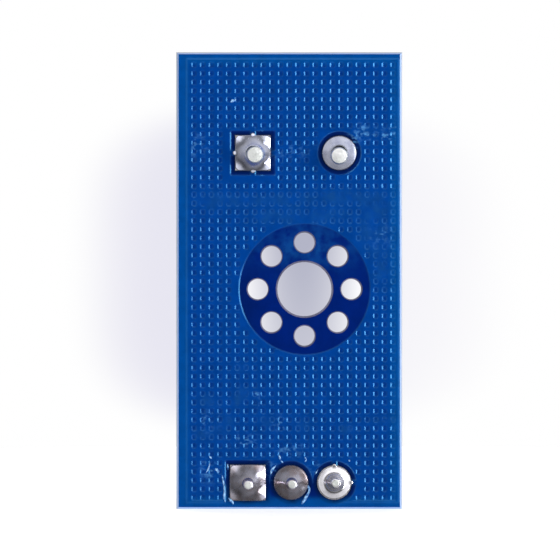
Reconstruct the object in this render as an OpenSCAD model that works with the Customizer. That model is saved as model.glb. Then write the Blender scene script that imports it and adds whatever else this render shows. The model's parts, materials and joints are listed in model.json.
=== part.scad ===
// Voltage sensor module: a two-pole screw terminal, a resistor divider and a
// three-pin header on a small circuit board with one central mounting hole.
//
// The board stands upright. +Z runs up its long side towards the screw
// terminal, -Y points out of the solder side and +Y out of the component side.
// The origin is the centre of the mounting hole, on the solder-side face of
// the laminate. Left and right are as seen from the solder side.

/* [Board] */
// Width of the board's two faces, along X
board_w = 13; // [12.5:0.1:16]
// Height of the board's two faces, along Z
board_h = 26.6; // [26.4:0.1:32]
// How far the broken edges stand out past the faces
score_w = 0.15; // [0.05:0.05:0.3]
// Thickness of the bare laminate, along Y
board_t = 1.5; // [0.8:0.1:2]
// Thickness of the copper on each side
copper_t = 0.035; // [0.018:0.001:0.07]
// Thickness of the solder mask on each side
mask_t = 0.03; // [0.02:0.005:0.05]
// Bare margin between the copper and the board's edge, on average
edge_margin = 0.25; // [0.25:0.05:0.5]
// How far the copper lies to the right of the board's middle
copper_shift = 0.2; // [0:0.05:0.2]

/* [Mounting hole] */
// Diameter of the mounting hole, a free fit for M3
hole_d = 3.2; // [3:0.1:3.4]
// How far the hole lies to the right of the board's centre line
hole_right = 0.9; // [0:0.1:1]
// How far the hole lies below the board's middle
hole_drop = 0.5; // [0:0.1:1]
// Diameter of the small holes round it
ring_hole_d = 1.2; // [0.8:0.1:1.3]
// How many small holes there are
ring_holes = 8; // [4:1:8]
// Diameter of the circle that they stand on
ring_d = 5.5; // [5:0.1:5.8]
// Diameter of the copper-free disc
clear_disc_d = 7.7; // [7.2:0.1:7.8]

/* [Screw terminal] */
// Distance between the two poles
pole_pitch = 5.08; // [5:0.08:5.08]
// How far the poles' row lies above the board's middle
terminal_up = 7.5; // [7.4:0.1:7.8]
// How far the terminal lies to the right of the board's centre line
terminal_right = 0.4; // [0:0.1:0.8]
// Height of the block above the board
block_h = 10; // [10:0.1:11]
// How far the clamp screws travel when tightened
clamp_travel = 2.5; // [1:0.1:2.5]

/* [Pin header] */
// Distance between neighbouring pins
pin_pitch = 2.54; // [2.54:0.01:2.54]
// Number of pins
pin_count = 3; // [3:1:3]
// How far the pins' row lies below the board's middle
header_drop = 11.85; // [11.6:0.05:12]
// How far the header lies to the right of the board's centre line
header_right = 0.1; // [0:0.1:0.4]
// Length of a pin above the plastic strip
pin_free = 6; // [5:0.1:8]

/* [Hidden] */
$fn = 48;
CUT = 0.5; // how far a cutting shape runs past the face that it cuts

// Board: its middle, and the levels of its layers along Y
board_x = -hole_right;
board_z = hole_drop;
face_y = board_t + copper_t + mask_t; // outer face of the component-side mask
skin_t = copper_t + mask_t;
score_t = 0.5;       // depth of the V grooves that the board was broken along

// Pads
pad_d = 2;           // round pads
square_w = 2.06;     // side of the square pads
pad_gap = 0.28;      // from a pad to the copper round it
mask_gap = 0.06;     // from a pad to the edge of the mask
hole_gap = 0.17;     // from the mounting hole to the edge of the mask
ring_gap = 0.12;     // from a small hole to the edge of the mask
plating_t = 0.05;    // wall of a plated hole
spoke_w = 0.3;       // thermal spokes of a grounded pad
track_w = 0.5;
track_gap = 0.25;
SQUARE = true;
ROUND = false;

// Screw terminal: places along Z are measured from the poles' row, heights along Y from the mask
terminal_x = board_x + terminal_right;
terminal_z = board_z + terminal_up;
pole_x = [terminal_x - pole_pitch / 2, terminal_x + pole_pitch / 2];
block_back = 3.5;
block_front = 4.1;
block_w = 2 * pole_pitch;
cage_half = 1.98;       // half of a cage's width
cage_wall = 0.45;
cage_low = 1;
cage_floor = 0.7;
cage_high = 6.2;
cage_top = 0.9;         // thickness of the threaded plate
cage_back = 2.2;
cage_front = 2;
lead_d = 1;             // the cage's solder pin
lead_hole_d = 1.3;
lead_out = 1.9;         // how far it stands out of the solder side
access_r = 1.95;        // screwdriver hole
screw_head_r = 1.8;
screw_head_h = 1.2;
shank_r = 1.47;
thread_clear = 0.05;    // all round the shank in the cage's plate
pivot_r = 0.7;
pivot_clear = 0.05;
button_r = 1;
button_h = 0.15;
guard_t = 0.36;
guard_half = 1.45;
guard_lip = 0.42;
guard_play = 0.02;      // above and below the guard's plate
head_low = cage_high + clamp_travel;
head_top = head_low + screw_head_h;
shank_low = cage_high - cage_top - 0.2;

// Pin header
header_x = board_x + header_right;
header_z = board_z - header_drop;
pins_x = [for (i = [0 : pin_count - 1]) header_x + (i - (pin_count - 1) / 2) * pin_pitch];
pin_side = 0.64;
pin_hole_d = 1;
pin_out = 1.4;          // how far a pin stands out of the solder side
strip_h = 2.54;
strip_half = 1.25;      // half of the strip's depth, along Z
strip_chamfer = 0.4;

// Resistors, 0805 size, one beside the other below the mounting hole
resistor_z = -7;
upper_x = 1.7;          // in series with the measured voltage
lower_x = -2.9;         // to ground
resistor_l = 2;
resistor_w = 1.25;
resistor_h = 0.5;
cap_l = 0.4;
cap_t = 0.04;
chip_pad = [1, 1.4];
chip_pad_x = 1;         // from the resistor's middle to a pad's middle
solder_film = 0.03;

// ---- drawing aids ---------------------------------------------------------

// Extrudes a drawing in X and Z from y0 to y1.
module slab(y0, y1) {
    rotate([90, 0, 0]) translate([0, 0, -y1]) linear_extrude(y1 - y0) children();
}

// Extrudes a drawing in Y and Z from x0 to x1.
module along_x(x0, x1) {
    rotate([90, 0, 90]) translate([0, 0, x0]) linear_extrude(x1 - x0) children();
}

// A round bar along Y.
module post(x, z, y0, y1, r) {
    translate([x, y1, z]) rotate([90, 0, 0]) cylinder(h = y1 - y0, r = r);
}

// A solid of revolution about an axis along Y, from a profile of [radius, y] points.
module turned(x, z, profile) {
    translate([x, 0, z]) rotate([-90, 0, 0]) rotate_extrude() polygon(profile);
}

module rect(x, z, w, h) {
    translate([x, z]) square([w, h], center = true);
}

module disc(x, z, d) {
    translate([x, z]) circle(d = d);
}

// A track with round ends through the points, grown by grow on every side.
module track(points, grow = 0) {
    w = track_w + 2 * grow;
    for (p = points) disc(p[0], p[1], w);
    for (i = [1 : len(points) - 1]) {
        a = points[i - 1];
        b = points[i];
        translate(a) rotate(atan2(b[1] - a[1], b[0] - a[0]))
            translate([0, -w / 2]) square([norm(b - a), w]);
    }
}

// ---- the board's drawings, in X and Z -------------------------------------

module board_outline(inset = 0) {
    rect(board_x, board_z, board_w - 2 * inset, board_h - 2 * inset);
}

module copper_outline(grow) {
    rect(board_x + copper_shift, board_z,
        board_w - 2 * edge_margin + 2 * grow, board_h - 2 * edge_margin + 2 * grow);
}

module pad_shape(x, z, is_square, grow = 0) {
    if (is_square) rect(x, z, square_w + 2 * grow, square_w + 2 * grow);
    else disc(x, z, pad_d + 2 * grow);
}

module terminal_pad_shapes(grow = 0) {
    pad_shape(pole_x[0], terminal_z, SQUARE, grow);
    pad_shape(pole_x[1], terminal_z, ROUND, grow);
}

module header_pad_shapes(grow = 0) {
    for (i = [0 : pin_count - 1]) pad_shape(pins_x[i], header_z, i == 0, grow);
}

module chip_pad_shapes(grow = 0) {
    for (x = [upper_x, lower_x], side = [-1, 1])
        rect(x + side * chip_pad_x, resistor_z, chip_pad[0] + 2 * grow, chip_pad[1] + 2 * grow);
}

module mounting_holes(hole_grow = 0, ring_grow = 0) {
    disc(0, 0, hole_d + 2 * hole_grow);
    for (i = [1 : ring_holes]) rotate(i * 360 / ring_holes)
        disc(ring_d / 2, 0, ring_hole_d + 2 * ring_grow);
}

// Spokes that join a grounded pad to the copper round it, at the given angles.
module spokes(x, z, angles, grow) {
    reach = square_w / 2 + pad_gap + 0.1;
    for (a = angles) translate([x, z]) rotate(a)
        translate([0, -spoke_w / 2 - grow]) square([reach, spoke_w + 2 * grow]);
}

module ground_spokes(grow = 0) {
    spokes(pole_x[0], terminal_z, [0, 90, 180, 270], grow);
    spokes(pins_x[pin_count - 1], header_z, [0, 90], grow);
}

// Joins the grounded end of the lower resistor to the copper round it.
module chip_spoke(grow = 0) {
    edge = lower_x - chip_pad_x - chip_pad[0] / 2;
    rect(edge - track_gap / 2 - 0.05, resistor_z, track_gap + 0.1, 2 * spoke_w + 2 * grow);
}

// The two signal tracks of the component side.
input_track = [
    [pole_x[1], terminal_z], [4.3, 5.7], [4.3, -5.4], [upper_x + chip_pad_x, resistor_z]
];
output_track = [
    [upper_x - chip_pad_x, resistor_z], [lower_x + chip_pad_x, resistor_z],
    [pins_x[0], header_z]
];

// The ground copper of the solder side, with no scraps between the header's pads.
// grow widens the copper, so that the mask's step clears the copper's edge.
module solder_side_plan(grow = 0) {
    difference() {
        copper_outline(grow);
        disc(0, 0, clear_disc_d - 2 * grow);
        terminal_pad_shapes(pad_gap - grow);
        header_pad_shapes(pad_gap - grow);
        rect(header_x, header_z - pad_d, (pin_count - 1) * pin_pitch, 2 * pad_d);
    }
}

module component_side_plan(grow = 0) {
    difference() {
        solder_side_plan(grow);
        chip_pad_shapes(track_gap - grow);
        track(input_track, track_gap - grow);
        track(output_track, track_gap - grow);
    }
}

// Copper between its plan and the pads.
module copper_layer(y0, y1) {
    slab(y0, y1) difference() {
        children();
        terminal_pad_shapes();
        header_pad_shapes();
        chip_pad_cut(y0);
    }
}

// The resistors' pads are on the component side alone.
module chip_pad_cut(y0) {
    if (y0 > 0) chip_pad_shapes();
}

module solder_side_pour(grow = 0) {
    solder_side_plan(grow);
    ground_spokes(grow);
}

module component_side_pour(grow = 0) {
    component_side_plan(grow);
    ground_spokes(grow);
    chip_spoke(grow);
}

module tracks_plan(grow = 0) {
    track(input_track, grow);
    track(output_track, grow);
}

// ---- the board ------------------------------------------------------------

// Section across the board, with half a V groove at each corner, as [y, place] points.
function scored_section(low, high) = [
    [0, low], [score_t, low - score_w], [board_t - score_t, low - score_w], [board_t, low],
    [board_t, high], [board_t - score_t, high + score_w], [score_t, high + score_w], [0, high]
];

module scored_board() {
    x0 = board_x - board_w / 2;
    x1 = board_x + board_w / 2;
    z0 = board_z - board_h / 2;
    z1 = board_z + board_h / 2;
    intersection() {
        along_x(x0 - score_w, x1 + score_w) polygon(scored_section(z0, z1));
        translate([0, 0, z0 - score_w]) linear_extrude(board_h + 2 * score_w)
            polygon([for (p = scored_section(x0, x1)) [p[1], p[0]]]);
    }
}

module laminate() {
    color("tan") difference() {
        scored_board();
        slab(-CUT, board_t + CUT) {
            mounting_holes();
            for (x = pole_x) disc(x, terminal_z, lead_hole_d + 2 * plating_t);
            for (x = pins_x) disc(x, header_z, pin_hole_d + 2 * plating_t);
        }
    }
}

module solder_side_copper() {
    color("peru") copper_layer(-copper_t, 0) solder_side_pour();
}

module component_side_copper() {
    color("peru") copper_layer(board_t, board_t + copper_t) component_side_pour();
}

module signal_tracks() {
    color("peru") copper_layer(board_t, board_t + copper_t) tracks_plan();
}

// A plated hole with a pad on each side of the board.
module plated_hole(x, z, is_square, d) {
    difference() {
        union() {
            slab(-copper_t, 0) pad_shape(x, z, is_square);
            slab(board_t, board_t + copper_t) pad_shape(x, z, is_square);
            post(x, z, -copper_t, board_t + copper_t, d / 2 + plating_t);
        }
        post(x, z, -CUT, board_t + CUT, d / 2);
    }
}

module terminal_pads() {
    color("silver") {
        plated_hole(pole_x[0], terminal_z, SQUARE, lead_hole_d);
        plated_hole(pole_x[1], terminal_z, ROUND, lead_hole_d);
    }
}

module header_pads() {
    color("silver") for (i = [0 : pin_count - 1])
        plated_hole(pins_x[i], header_z, i == 0, pin_hole_d);
}

module resistor_pads() {
    color("silver") slab(board_t, board_t + copper_t) chip_pad_shapes();
}

module solder_side_mask() {
    color("royalblue") difference() {
        union() {
            slab(-mask_t, 0) board_outline();
            slab(-skin_t, 0) solder_side_pour(mask_t);
        }
        slab(-copper_t, CUT) solder_side_pour();
        slab(-CUT, CUT) mask_openings();
    }
}

module mask_openings() {
    mounting_holes(hole_gap, ring_gap);
    terminal_pad_shapes(mask_gap);
    header_pad_shapes(mask_gap);
}

module component_side_mask() {
    color("royalblue") difference() {
        union() {
            slab(board_t, board_t + mask_t) board_outline();
            slab(board_t, face_y) component_side_pour(mask_t);
            slab(board_t, face_y) tracks_plan(mask_t);
        }
        slab(board_t - CUT, board_t + copper_t) union() {
            component_side_pour();
            tracks_plan();
        }
        slab(board_t - CUT, face_y + CUT) union() {
            mask_openings();
            chip_pad_shapes(mask_gap);
        }
    }
}

// White outlines and polarity marks, printed on the component side.
legend_w = 0.15;
legend_t = 0.02;

module frame_line(x, z, w, h) {
    difference() {
        rect(x, z, w + legend_w, h + legend_w);
        rect(x, z, w - legend_w, h - legend_w);
    }
}

module legend() {
    block_mid = terminal_z + (block_front - block_back) / 2;
    color("white") slab(face_y, face_y + legend_t) intersection() {
        board_outline(edge_margin / 2);
        legend_plan(block_mid, header_z + strip_half + 0.9, terminal_z + block_front + 1);
    }
}

module minus_mark(x, z) {
    rect(x, z, 0.8, legend_w);
}

module plus_mark(x, z) {
    minus_mark(x, z);
    rect(x, z, legend_w, 0.8);
}

module legend_plan(block_mid, header_mark_z, terminal_mark_z) {
    frame_line(terminal_x, block_mid, block_w + 0.9, block_front + block_back + 0.5);
    frame_line(header_x, header_z, pin_count * pin_pitch + 0.5, 2 * strip_half + 0.35);
    for (x = [upper_x, lower_x])
        frame_line(x, resistor_z, 2 * chip_pad_x + chip_pad[0] + 0.5, chip_pad[1] + 0.5);
    minus_mark(pole_x[0], terminal_mark_z);
    plus_mark(pole_x[1], terminal_mark_z);
    plus_mark(pins_x[1], header_mark_z);
    minus_mark(pins_x[2], header_mark_z);
}

// ---- solder ---------------------------------------------------------------

// A concave fillet from the pad's edge up to a pin, as [radius, y] points.
function fillet(r_pad, r_pin, y_pad, y_tip, steps = 8) = [
    for (i = [0 : steps]) let (t = i / steps)
        [r_pin + (r_pad - r_pin) * pow(1 - t, 2.4), y_pad + (y_tip - y_pad) * t]
];

// The solder fills the plated hole, and rises up the pin on the solder side.
module joint_solder(x, z, is_square, hole_r, bar_r, rise) {
    foot_t = 0.12;
    r_pad = pad_d / 2 - 0.03;
    difference() {
        union() {
            turned(x, z, concat(
                [[0, board_t], [hole_r, board_t], [hole_r, -copper_t], [r_pad, -copper_t]],
                fillet(r_pad, bar_r + 0.06, -copper_t - foot_t, -rise),
                [[0, -rise]]));
            if (is_square) slab(-copper_t - foot_t, -copper_t) pad_shape(x, z, SQUARE, -0.03);
        }
        children();
    }
}

module terminal_solder(i) {
    color("lightgray")
        joint_solder(pole_x[i], terminal_z, i == 0, lead_hole_d / 2, lead_d / 2, 1.35)
            post(pole_x[i], terminal_z, -lead_out - CUT, board_t + CUT, lead_d / 2);
}

module header_solder(i) {
    color("lightgray")
        joint_solder(pins_x[i], header_z, i == 0, pin_hole_d / 2, pin_side / 2, 0.95)
            slab(-pin_out - CUT, board_t + CUT) rect(pins_x[i], header_z, pin_side, pin_side);
}

// ---- screw terminal -------------------------------------------------------

// The block's side view, as [height above the mask, place along Z from the poles' row].
block_profile = [
    [0, -block_back], [0, block_front], [block_h - 3.8, block_front],
    [block_h - 0.3, block_front - 1.1], [block_h, block_front - 1.4],
    [block_h, -block_back + 0.8], [block_h - 0.8, -block_back]
];
rail_z = -block_back + 0.45;
rail_w = 0.7;
rail_out = 0.35;
entry_half = 1.65;
entry_low = 1.4;
entry_high = 5.4;

// The wire entry's outline, square below and round above, in X and height.
module entry_shape(grow = 0) {
    half = entry_half + grow;
    straight = entry_high - entry_half - entry_low;
    translate([-half, entry_low - grow]) square([2 * half, straight + grow]);
    translate([0, entry_high - entry_half]) circle(r = half);
}

module wire_entry(x) {
    front = terminal_z + block_front;
    translate([x, face_y, terminal_z + cage_front - CUT])
        linear_extrude(block_front - cage_front + 2 * CUT) entry_shape();
    translate([x, face_y, front - 0.35]) linear_extrude(CUT + 0.35) entry_shape(0.2);
}

// The cell that a cage is pushed into from below, open towards the board.
module cell(x) {
    translate([x - cage_half, face_y - CUT, terminal_z - cage_back])
        cube([2 * cage_half, cage_high + CUT, cage_back + cage_front]);
}

module terminal_housing() {
    x0 = terminal_x - block_w / 2;
    x1 = terminal_x + block_w / 2;
    color("dodgerblue") difference() {
        translate([0, face_y, terminal_z]) union() {
            along_x(x0, x1) polygon(block_profile);
            along_x(x0 - rail_out, x0) translate([0, rail_z - rail_w / 2])
                square([block_h - 2, rail_w]);
        }
        translate([0, face_y, terminal_z]) along_x(x1 - rail_out - 0.05, x1 + CUT)
            translate([-CUT, rail_z - rail_w / 2 - 0.08]) square([block_h - 1.9 + CUT, rail_w + 0.16]);
        for (x = pole_x) {
            cell(x);
            wire_entry(x);
            post(x, terminal_z, face_y + cage_high - CUT, face_y + block_h + CUT, access_r);
            post(x, terminal_z, face_y + block_h - 0.25, face_y + block_h + CUT, access_r + 0.2);
        }
        // a shallow line down the front between the poles
        translate([terminal_x - 0.15, face_y - CUT, terminal_z + block_front - 0.2])
            cube([0.3, block_h - 3.8 + CUT, 0.2 + CUT]);
    }
}

// A brass cage round the wire's space: threaded plate above, solder pin below.
module contact_cage(x) {
    color("khaki") translate([0, face_y, 0]) difference() {
        union() {
            translate([0, 0, terminal_z - cage_back]) linear_extrude(cage_back + cage_front)
                difference() {
                    translate([x - cage_half, cage_low])
                        square([2 * cage_half, cage_high - cage_low]);
                    translate([x - cage_half + cage_wall, cage_low + cage_floor])
                        square([2 * (cage_half - cage_wall),
                            cage_high - cage_low - cage_floor - cage_top]);
                }
            post(x, terminal_z, -face_y - lead_out + 0.25, cage_low + 0.1, lead_d / 2);
            turned(x, terminal_z, [
                [0, -face_y - lead_out], [lead_d / 2 - 0.2, -face_y - lead_out],
                [lead_d / 2, -face_y - lead_out + 0.25], [0, -face_y - lead_out + 0.25]
            ]);
        }
        post(x, terminal_z, cage_high - cage_top - 0.1, cage_high + CUT, shank_r + thread_clear);
    }
}

guard_high = shank_low - guard_play;
guard_low = guard_high - guard_t;
button_high = guard_low - guard_play;

// The saddle that the screw presses onto the wire, hung on the screw's riveted end.
module wire_guard(x) {
    inner = guard_half - guard_t;
    color("gainsboro") translate([0, face_y, 0]) difference() {
        translate([x, 0, terminal_z - cage_back + 0.2])
            linear_extrude(cage_back + cage_front - 0.4) difference() {
                translate([-guard_half, guard_low - guard_lip])
                    square([2 * guard_half, guard_t + guard_lip]);
                translate([-inner, guard_low - guard_lip - CUT])
                    square([2 * inner, guard_lip + CUT]);
            }
        post(x, terminal_z, guard_low - CUT, guard_high + CUT, pivot_r + pivot_clear);
    }
}

module clamp_screw(x) {
    slot_w = 0.65;
    slot_h = 0.65;
    color("lightgray") translate([0, face_y, 0]) difference() {
        union() {
            turned(x, terminal_z, [
                [0, button_high - button_h], [button_r, button_high - button_h],
                [button_r, button_high], [pivot_r, button_high], [pivot_r, shank_low],
                [shank_r - 0.2, shank_low], [shank_r, shank_low + 0.2], [shank_r, head_low],
                [screw_head_r, head_low], [screw_head_r, head_top - 0.25],
                [screw_head_r - 0.25, head_top], [0, head_top]
            ]);
        }
        translate([x, head_top, terminal_z]) {
            cube([2 * screw_head_r + 1, 2 * slot_h, slot_w], center = true);
            cube([slot_w, 2 * slot_h, 2.3], center = true);
        }
    }
}

// ---- pin header -----------------------------------------------------------

module header_strip() {
    half = pin_pitch / 2;
    c = strip_chamfer;
    color("dimgray") difference() {
        slab(face_y, face_y + strip_h) for (x = pins_x) translate([x, header_z]) polygon([
            [-half, -strip_half + c], [-half + c, -strip_half],
            [half - c, -strip_half], [half, -strip_half + c],
            [half, strip_half - c], [half - c, strip_half],
            [-half + c, strip_half], [-half, strip_half - c]
        ]);
        slab(face_y - CUT, face_y + strip_h + CUT)
            for (x = pins_x) rect(x, header_z, pin_side, pin_side);
    }
}

// A square pin whose two ends taper on all four sides.
module header_pin(i) {
    y0 = -pin_out;
    y1 = face_y + strip_h + pin_free;
    half = pin_side / 2;
    tip = 0.3;
    flat = 0.2;
    profile = [
        [y0, -flat], [y0 + tip, -half], [y1 - tip, -half], [y1, -flat],
        [y1, flat], [y1 - tip, half], [y0 + tip, half], [y0, flat]
    ];
    color("gold") intersection() {
        along_x(pins_x[i] - half, pins_x[i] + half) translate([0, header_z]) polygon(profile);
        translate([pins_x[i], 0, header_z - half]) linear_extrude(pin_side)
            polygon([for (p = profile) [p[1], p[0]]]);
    }
}

// ---- resistors ------------------------------------------------------------

chip_y = board_t + copper_t + solder_film;

module chip_block(x, l, w, y0, y1) {
    slab(y0, y1) rect(x, resistor_z, l, w);
}

module resistor_ceramic(x) {
    color("whitesmoke") chip_block(x, resistor_l - 2 * cap_t, resistor_w - 2 * cap_t,
        chip_y + cap_t, chip_y + resistor_h - cap_t);
}

// The glass coat over the resistive film, between the end caps.
module resistor_coat(x) {
    color("dimgray") chip_block(x, resistor_l - 2 * cap_l, resistor_w - 4 * cap_t,
        chip_y + resistor_h - cap_t, chip_y + resistor_h + cap_t / 2);
}

module resistor_caps(x) {
    color("silver") difference() {
        chip_block(x, resistor_l, resistor_w - 2 * cap_t, chip_y, chip_y + resistor_h);
        chip_block(x, resistor_l - 2 * cap_t, resistor_w, chip_y + cap_t,
            chip_y + resistor_h - cap_t);
        chip_block(x, resistor_l - 2 * cap_l, resistor_w, chip_y - CUT,
            chip_y + resistor_h + CUT);
    }
}

// A film under each end cap, and a fillet up its end.
module resistor_solder() {
    pad_y = board_t + copper_t;
    rise = 0.32;
    reach = 0.4;
    half = resistor_w / 2 - cap_t;
    color("lightgray") for (x = [upper_x, lower_x], side = [-1, 1]) {
        end = x + side * resistor_l / 2;
        translate([0, 0, resistor_z - half]) linear_extrude(2 * half) polygon([
            [end - side * cap_l, pad_y], [end + side * reach, pad_y],
            [end + side * reach * 0.35, chip_y + rise * 0.35], [end, chip_y + rise],
            [end, chip_y], [end - side * cap_l, chip_y]
        ]);
    }
}

laminate();
solder_side_copper();
component_side_copper();
signal_tracks();
terminal_pads();
header_pads();
resistor_pads();
solder_side_mask();
component_side_mask();
legend();
terminal_housing();
contact_cage(pole_x[0]);  // left_contact_cage
contact_cage(pole_x[1]);  // right_contact_cage
wire_guard(pole_x[0]);  // left_wire_guard
wire_guard(pole_x[1]);  // right_wire_guard
clamp_screw(pole_x[0]);  // left_clamp_screw
clamp_screw(pole_x[1]);  // right_clamp_screw
header_strip();
header_pin(0);  // header_pin_left
header_pin(1);  // header_pin_middle
header_pin(2);  // header_pin_right
terminal_solder(0);  // left_terminal_solder
terminal_solder(1);  // right_terminal_solder
header_solder(0);  // left_header_solder
header_solder(1);  // middle_header_solder
header_solder(2);  // right_header_solder
resistor_ceramic(upper_x);  // upper_resistor_ceramic
resistor_coat(upper_x);  // upper_resistor_coat
resistor_caps(upper_x);  // upper_resistor_caps
resistor_ceramic(lower_x);  // lower_resistor_ceramic
resistor_coat(lower_x);  // lower_resistor_coat
resistor_caps(lower_x);  // lower_resistor_caps
resistor_solder();
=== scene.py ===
"""Looks of the voltage sensor module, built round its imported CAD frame.

The board stands upright and the camera faces its solder side. Lengths in this script are in
millimetres and become metres where objects are made. Left and right are as the camera sees them.
"""

import json
import math

import bmesh
import bpy
import numpy as np
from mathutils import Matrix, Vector
from mathutils.geometry import delaunay_2d_cdt

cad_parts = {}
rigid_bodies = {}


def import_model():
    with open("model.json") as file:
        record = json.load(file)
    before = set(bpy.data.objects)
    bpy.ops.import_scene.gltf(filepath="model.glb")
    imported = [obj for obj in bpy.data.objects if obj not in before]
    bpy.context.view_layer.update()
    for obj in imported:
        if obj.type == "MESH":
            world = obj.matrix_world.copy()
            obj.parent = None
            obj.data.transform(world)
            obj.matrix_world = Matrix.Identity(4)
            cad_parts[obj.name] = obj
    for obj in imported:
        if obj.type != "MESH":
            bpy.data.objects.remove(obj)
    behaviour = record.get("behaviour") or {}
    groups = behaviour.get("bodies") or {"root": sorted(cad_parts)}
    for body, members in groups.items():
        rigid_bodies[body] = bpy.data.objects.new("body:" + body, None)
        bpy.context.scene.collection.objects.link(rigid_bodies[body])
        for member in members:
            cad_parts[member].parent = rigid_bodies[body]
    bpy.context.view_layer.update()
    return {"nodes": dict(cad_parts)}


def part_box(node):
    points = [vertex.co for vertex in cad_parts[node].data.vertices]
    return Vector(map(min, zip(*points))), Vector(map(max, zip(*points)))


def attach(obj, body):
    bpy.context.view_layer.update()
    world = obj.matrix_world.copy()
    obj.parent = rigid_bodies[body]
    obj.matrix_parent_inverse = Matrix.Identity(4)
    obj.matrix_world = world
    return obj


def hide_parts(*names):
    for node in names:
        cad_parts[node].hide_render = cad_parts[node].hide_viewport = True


for leftover in list(bpy.data.objects):
    bpy.data.objects.remove(leftover)
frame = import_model()
NODES = frame["nodes"]
MM = 0.001


# ---- dimensions, from the frame where it has them ----


def box_mm(node):
    low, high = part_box(node)
    return np.array(low) / MM, np.array(high) / MM


def middle(node):
    low, high = box_mm(node)
    return (low + high) / 2


BOARD_LOW, BOARD_HIGH = box_mm("laminate")
COPPER_LOW, COPPER_HIGH = box_mm("solder_side_copper")
BOARD_T = BOARD_HIGH[1]
COPPER_T = -COPPER_LOW[1]
FACE_LOW, FACE_HIGH = box_mm("solder_side_mask")
SKIN_T = -FACE_LOW[1]
MASK_T = SKIN_T - COPPER_T
BOARD_MID = (BOARD_LOW + BOARD_HIGH) / 2
BOARD_HALF = (BOARD_HIGH - BOARD_LOW) / 2

POLES = [middle("left_clamp_screw")[[0, 2]], middle("right_clamp_screw")[[0, 2]]]
PIN_NODES = ["header_pin_left", "header_pin_middle", "header_pin_right"]
PINS = [middle(n)[[0, 2]] for n in PIN_NODES]
PIN_OUT = -box_mm("header_pin_left")[0][1]
LEAD_OUT = -box_mm("left_contact_cage")[0][1]
CHIPS = [middle("lower_resistor_ceramic")[[0, 2]], middle("upper_resistor_ceramic")[[0, 2]]]

PAD_R = 1.0
SQUARE_HALF = (box_mm("terminal_pads")[1][2] - box_mm("terminal_pads")[0][2]) / 2
PAD_GAP = 0.28  # from a pad's edge to the ground copper
PAD_RIM = 0.02  # bare rim that the mask leaves round the soldered pads
CHIP_RIM = 0.06  # the same round the resistors' pads
HOLE_RIM = 0.09  # the same round the mounting hole
RING_RIM = 0.06  # the same round the small holes
LEAD_R = 0.5  # radius of the terminal's leads
PIN_HALF = 0.32  # half the width of a header pin
HEADER_BAR = 0.33  # radius of a header pin with its coat of solder
HOLE_R = 1.6
RING_HOLE_R = 0.6
RING_R = 2.75
RING_HOLES = 8
CLEAR_DISC_R = 3.85
SPOKE_W = 0.3
TRACK_W = 0.5
TRACK_GAP = 0.25
CHIP_PAD_X = 1.0  # from a resistor's middle to each of its pads' middles
CHIP_PAD = (1.0, 1.4)  # width and height of those pads

HATCH_PITCH = 0.508
HATCH_WINDOW = np.array((0.25, 0.31))  # between the middles of the mask's slopes
HATCH_FIRST = (0.465, 0.38)  # first window's centre, from the copper's top left corner
HATCH_KEEP_OFF = 0.2  # least distance from a window's centre to the edge of the copper
WINDOW_CORNER = 0.055  # radius of a window's corners
SLOPE_W = 0.1  # width of the mask's slope over a copper edge
POUR_SLOPE_W = 0.26  # the same, but gentler, along the board's edges


def add_object(name, data):
    """An object in the scene, of whatever kind its data is."""
    thing = bpy.data.objects.new(name, data)
    bpy.context.scene.collection.objects.link(thing)
    return thing


# ---- camera ----

FRAME_W = 32.88  # width of the view at the board, mm
LENS = 200.0
SENSOR = 36.0
VIEW_RIGHT = -0.545  # from the board's middle to the view's middle
VIEW_UP = 0.04


def add_camera():
    data = bpy.data.cameras.new("camera")
    data.lens = LENS
    data.sensor_width = SENSOR
    data.clip_start = 0.01
    data.clip_end = 20
    camera = add_object("camera", data)
    back = FRAME_W * LENS / SENSOR
    camera.location = Vector((BOARD_MID[0] + VIEW_RIGHT, -back, BOARD_MID[2] + VIEW_UP)) * MM
    camera.rotation_euler = (math.pi / 2, 0, 0)
    bpy.context.scene.camera = camera


# ---- materials ----


class Nodes:
    """A node tree, and short ways to add to it."""

    def __init__(self, tree):
        self.tree = tree

    def node(self, kind, **inputs):
        node = self.tree.nodes.new(kind)
        for key, value in inputs.items():
            self.plug(node.inputs[key.replace("_", " ")], value)
        return node

    def plug(self, socket, value):
        if isinstance(value, bpy.types.NodeSocket):
            self.tree.links.new(value, socket)
        else:
            socket.default_value = value

    def ramp(self, fac, low, high, a=0.0, b=1.0, curve="LINEAR"):
        """fac mapped from low..high to a..b, held at both ends."""
        span = {"From_Min": low, "From_Max": high, "To_Min": a, "To_Max": b}
        node = self.node("ShaderNodeMapRange", Value=fac, **span)
        node.interpolation_type = curve
        return node.outputs["Result"]

    def math(self, operation, *values):
        node = self.tree.nodes.new("ShaderNodeMath")
        node.operation = operation
        for socket, value in zip(node.inputs, values):
            self.plug(socket, value)
        return node.outputs[0]

    def mix(self, fac, a, b):
        """The colour a where fac is 0 and b where it is 1. Each is a tuple or a socket."""
        node = self.tree.nodes.new("ShaderNodeMix")
        node.data_type = "RGBA"
        self.plug(node.inputs["Factor"], fac)
        for key, value in (("A", a), ("B", b)):
            socket = [s for s in node.inputs if s.name == key and s.type == "RGBA"][0]
            self.plug(socket, (*value, 1) if isinstance(value, tuple) else value)
        return [s for s in node.outputs if s.type == "RGBA"][0]

    def stops(self, fac, places):
        """A value that runs through (place, value) stops."""
        node = self.node("ShaderNodeValToRGB", Fac=fac)
        elements = node.color_ramp.elements
        while len(elements) < len(places):
            elements.new(0.5)
        for element, (place, value) in zip(elements, places):
            element.position = place
            element.color = (value, value, value, 1)
        return node.outputs["Color"]


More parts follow.
